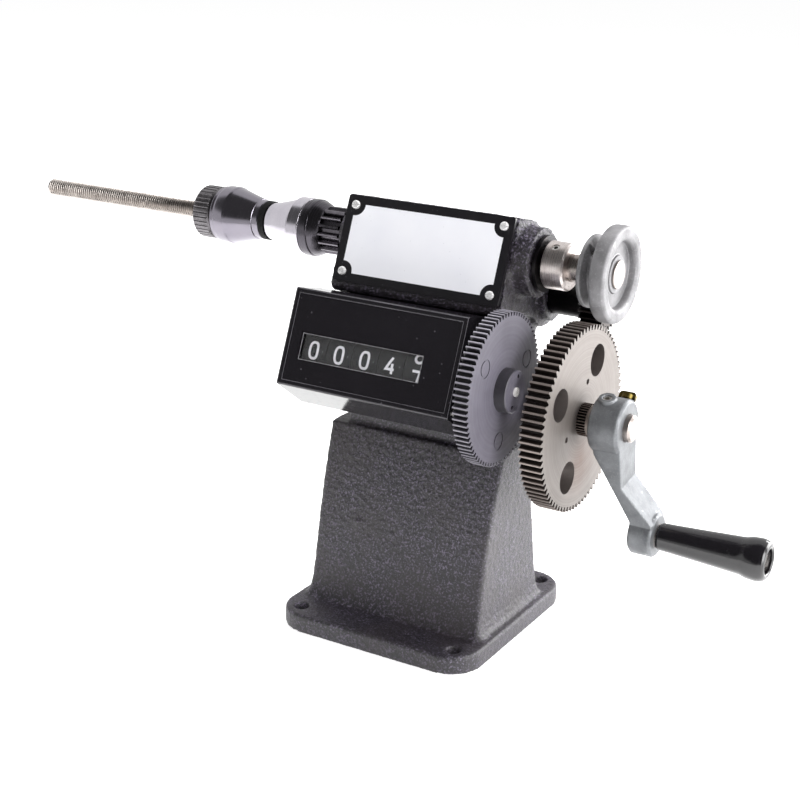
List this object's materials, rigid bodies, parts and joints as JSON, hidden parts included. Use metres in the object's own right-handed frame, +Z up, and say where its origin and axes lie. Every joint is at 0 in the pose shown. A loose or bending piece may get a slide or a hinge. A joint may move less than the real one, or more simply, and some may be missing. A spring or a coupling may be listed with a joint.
{
  "type": "hand-cranked coil winder",
  "caption": "Bench coil winder with a crank and large gear driving a threaded spindle with clamping cones, a hand pulley, and a geared counter below a nameplate.",
  "frame": {"origin": "centre of the base's bolt pattern, on its underside", "axes": "+X along the spindle towards the crank and pulley, -Y the front with the counter and nameplate, +Z up"},
  "size_m": [0.381, 0.1184, 0.1964],
  "materials": {
    "black_casting": "black enamel over rough sand-cast iron",
    "black_steel": "blackened steel",
    "bronze": "sintered bronze, oiled",
    "zinc_screw": "zinc plated steel",
    "nameplate_black": "glossy black printed aluminium border",
    "nameplate_panel": "bare silvery white panel",
    "polished_screw": "polished nickel plated heads",
    "counter_plastic": "glossy black moulded plastic",
    "clear_window": "clear pane",
    "bright_steel": "turned bright steel",
    "gear_steel": "machined gear steel",
    "dark_gear_steel": "oil-blackened cut steel",
    "grey_casting": "grey paint over a casting",
    "brass": "turned brass",
    "bakelite": "glossy black moulded resin",
    "black_rubber": "soft black rubber",
    "cone_enamel": "glossy black enamel on turned steel",
    "collar_steel": "turned and ground steel",
    "cast_aluminium": "cast and turned aluminium",
    "grey_nylon": "grey moulded nylon",
    "white_nylon": "white moulded nylon",
    "number_wheel": "black moulded wheel with white figures"
  },
  "bodies": {
    "frame": {"body_casting": "black_casting", "spindle_bush_left": "black_steel", "spindle_bush_right": "black_steel", "crank_bush_left": "bronze", "crank_bush_right": "bronze", "idler_bush_left": "bronze", "idler_sleeve": "black_steel", "gear_cover": "black_steel", "gear_cover_screws": "zinc_screw", "nameplate": "nameplate_black", "nameplate_panel": "nameplate_panel", "nameplate_screws": "polished_screw", "counter_housing": "counter_plastic", "counter_window": "clear_window", "counter_side_cover": "counter_plastic", "counter_cover_screws": "zinc_screw", "layshaft_stud": "bright_steel", "counter_bracket": "black_steel", "counter_bracket_screws": "zinc_screw"},
    "crank": {"crank_shaft": "bright_steel", "shaft_end_collar": "bright_steel", "counter_pinion": "dark_gear_steel", "drive_gear": "gear_steel", "toothed_ring": "dark_gear_steel", "shaft_spacer": "bright_steel", "crank_arm": "grey_casting", "crank_grub_screw": "zinc_screw", "crank_wing_screw": "brass", "handle_pin": "bright_steel"},
    "handle": {"handle_grip": "bakelite"},
    "idler": {"idler_shaft": "bright_steel", "idler_pinion": "dark_gear_steel", "idler_gear": "gear_steel"},
    "spindle": {"spindle_shaft": "bright_steel", "seal_ring": "black_rubber", "inner_cone": "cone_enamel", "fluted_pinion": "gear_steel", "spindle_gear": "dark_gear_steel", "collar": "collar_steel", "collar_set_screw": "zinc_screw", "pulley": "cast_aluminium", "pulley_set_screw": "zinc_screw"},
    "winding_clamp": {"winding_nut": "bright_steel", "clamp_washer": "bright_steel", "outer_cone": "cone_enamel"},
    "counter_drive": {"counter_gear": "grey_nylon", "counter_shaft": "bright_steel", "counter_input_gear": "white_nylon"},
    "counter_layshaft": {"counter_layshaft_gear": "white_nylon"},
    "wheel_units": {"number_wheel_units": "number_wheel"},
    "wheel_tens": {"number_wheel_tens": "number_wheel"},
    "wheel_hundreds": {"number_wheel_hundreds": "number_wheel"},
    "wheel_thousands": {"number_wheel_thousands": "number_wheel"},
    "wheel_ten_thousands": {"number_wheel_ten_thousands": "number_wheel"}
  },
  "joints": [
    {"name": "crank_turn", "type": "hinge", "parent": "frame", "child": "crank", "pos_m": [0.07, 0, 0.1104], "axis": [1, 0, 0], "continuous": true},
    {"name": "handle_spin", "type": "hinge", "parent": "crank", "child": "handle", "pos_m": [0.135, 0.0088, 0.06098], "axis": [1, 0, 0], "continuous": true},
    {"name": "idler_turn", "type": "hinge", "parent": "frame", "child": "idler", "pos_m": [0.02, 0.02193, 0.15533], "axis": [1, 0, 0], "continuous": true},
    {"name": "spindle_turn", "type": "hinge", "parent": "frame", "child": "spindle", "pos_m": [0, 0, 0.1758], "axis": [1, 0, 0], "continuous": true},
    {"name": "clamp_slide", "type": "slide", "parent": "spindle", "child": "winding_clamp", "axis": [1, 0, 0], "range_m": [-0.085, 0]},
    {"name": "counter_drive_turn", "type": "hinge", "parent": "frame", "child": "counter_drive", "pos_m": [0.05, -0.03365, 0.1289], "axis": [1, 0, 0], "continuous": true},
    {"name": "counter_layshaft_turn", "type": "hinge", "parent": "frame", "child": "counter_layshaft", "pos_m": [0.033, -0.03608, 0.11838], "axis": [1, 0, 0], "continuous": true},
    {"name": "wheel_units_turn", "type": "hinge", "parent": "frame", "child": "wheel_units", "pos_m": [0.0218, -0.03365, 0.1289], "axis": [1, 0, 0], "continuous": true},
    {"name": "wheel_tens_turn", "type": "hinge", "parent": "frame", "child": "wheel_tens", "pos_m": [0.009, -0.03365, 0.1289], "axis": [1, 0, 0], "continuous": true},
    {"name": "wheel_hundreds_turn", "type": "hinge", "parent": "frame", "child": "wheel_hundreds", "pos_m": [-0.0038, -0.03365, 0.1289], "axis": [1, 0, 0], "continuous": true},
    {"name": "wheel_thousands_turn", "type": "hinge", "parent": "frame", "child": "wheel_thousands", "pos_m": [-0.0166, -0.03365, 0.1289], "axis": [1, 0, 0], "continuous": true},
    {"name": "wheel_ten_thousands_turn", "type": "hinge", "parent": "frame", "child": "wheel_ten_thousands", "pos_m": [-0.0294, -0.03365, 0.1289], "axis": [1, 0, 0], "continuous": true}
  ],
  "couplings": [
    {"joint": "idler_turn", "follows": "crank_turn", "ratio": -4},
    {"joint": "spindle_turn", "follows": "crank_turn", "ratio": 8},
    {"joint": "counter_drive_turn", "follows": "crank_turn", "ratio": -0.2},
    {"joint": "counter_layshaft_turn", "follows": "crank_turn", "ratio": 0.4},
    {"joint": "wheel_units_turn", "follows": "crank_turn", "ratio": -0.8},
    {"joint": "wheel_tens_turn", "follows": "crank_turn", "ratio": -0.08},
    {"joint": "wheel_hundreds_turn", "follows": "crank_turn", "ratio": -0.008},
    {"joint": "wheel_thousands_turn", "follows": "crank_turn", "ratio": -0.0008},
    {"joint": "wheel_ten_thousands_turn", "follows": "crank_turn", "ratio": -0.00008}
  ]
}
